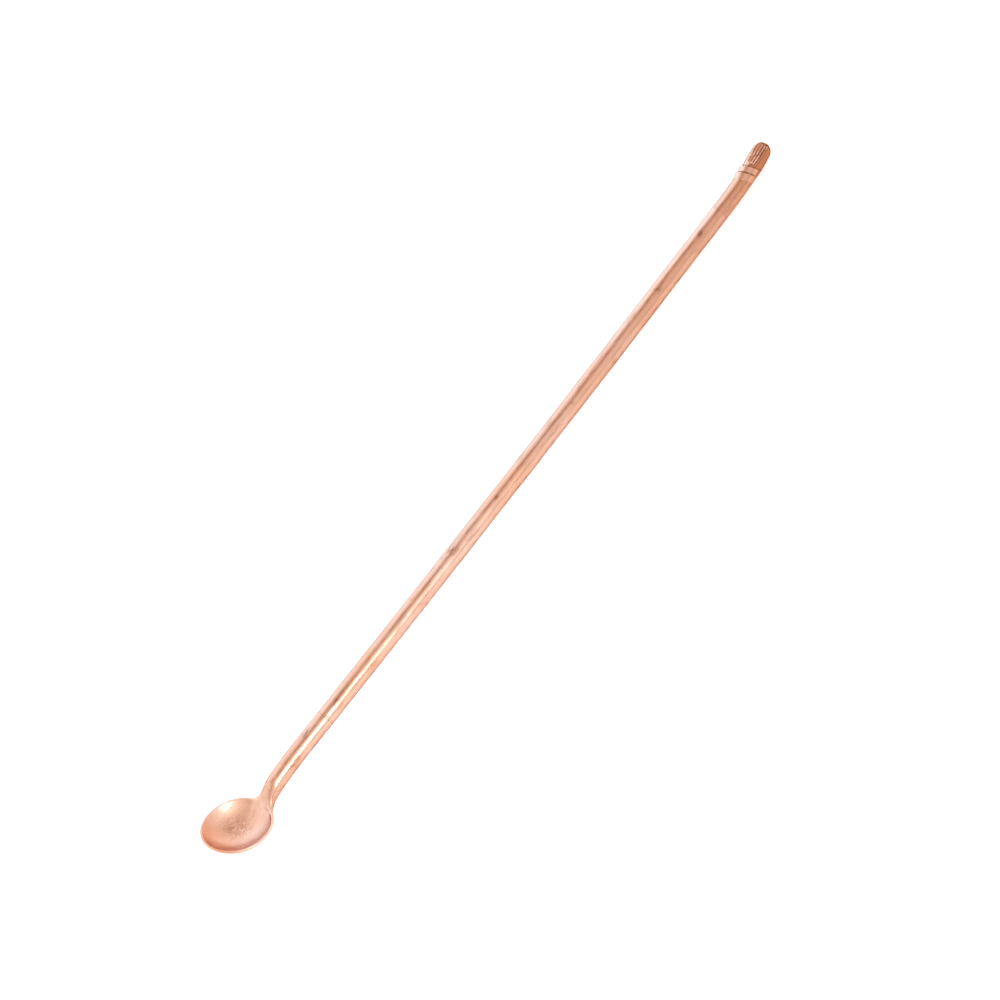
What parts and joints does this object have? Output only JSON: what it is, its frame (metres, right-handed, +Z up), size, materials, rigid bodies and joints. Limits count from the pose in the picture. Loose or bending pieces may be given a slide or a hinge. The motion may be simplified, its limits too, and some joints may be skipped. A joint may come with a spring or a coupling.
{
  "type": "bar spoon",
  "caption": "Long slim bar spoon: round dished bowl on a gently bent neck, plain tube handle and a curled fluted bud with slanted collars at the end.",
  "frame": {"origin": "under the middle of the spoon's box, on the table it rests on", "axes": "+X along the handle from the bowl to the bud, +Z up out of the bowl, +Y to the left of +X"},
  "size_m": [0.3048, 0.0246, 0.0124],
  "materials": {
    "bowl_copper": "polished, softly scratched inside",
    "handle_copper": "polished, with fine pits, drawing lines and light tarnish",
    "finial_copper": "polished high spots with darker grooves",
    "braze_metal": "dressed flush, slightly dull"
  },
  "bodies": {
    "root": {"bowl": "bowl_copper", "neck_tang": "handle_copper", "handle_tube": "handle_copper", "finial": "finial_copper", "lower_collar": "finial_copper", "upper_collar": "finial_copper", "bowl_braze": "braze_metal", "neck_braze_ring": "braze_metal", "finial_braze_ring": "braze_metal"}
  },
  "joints": []
}
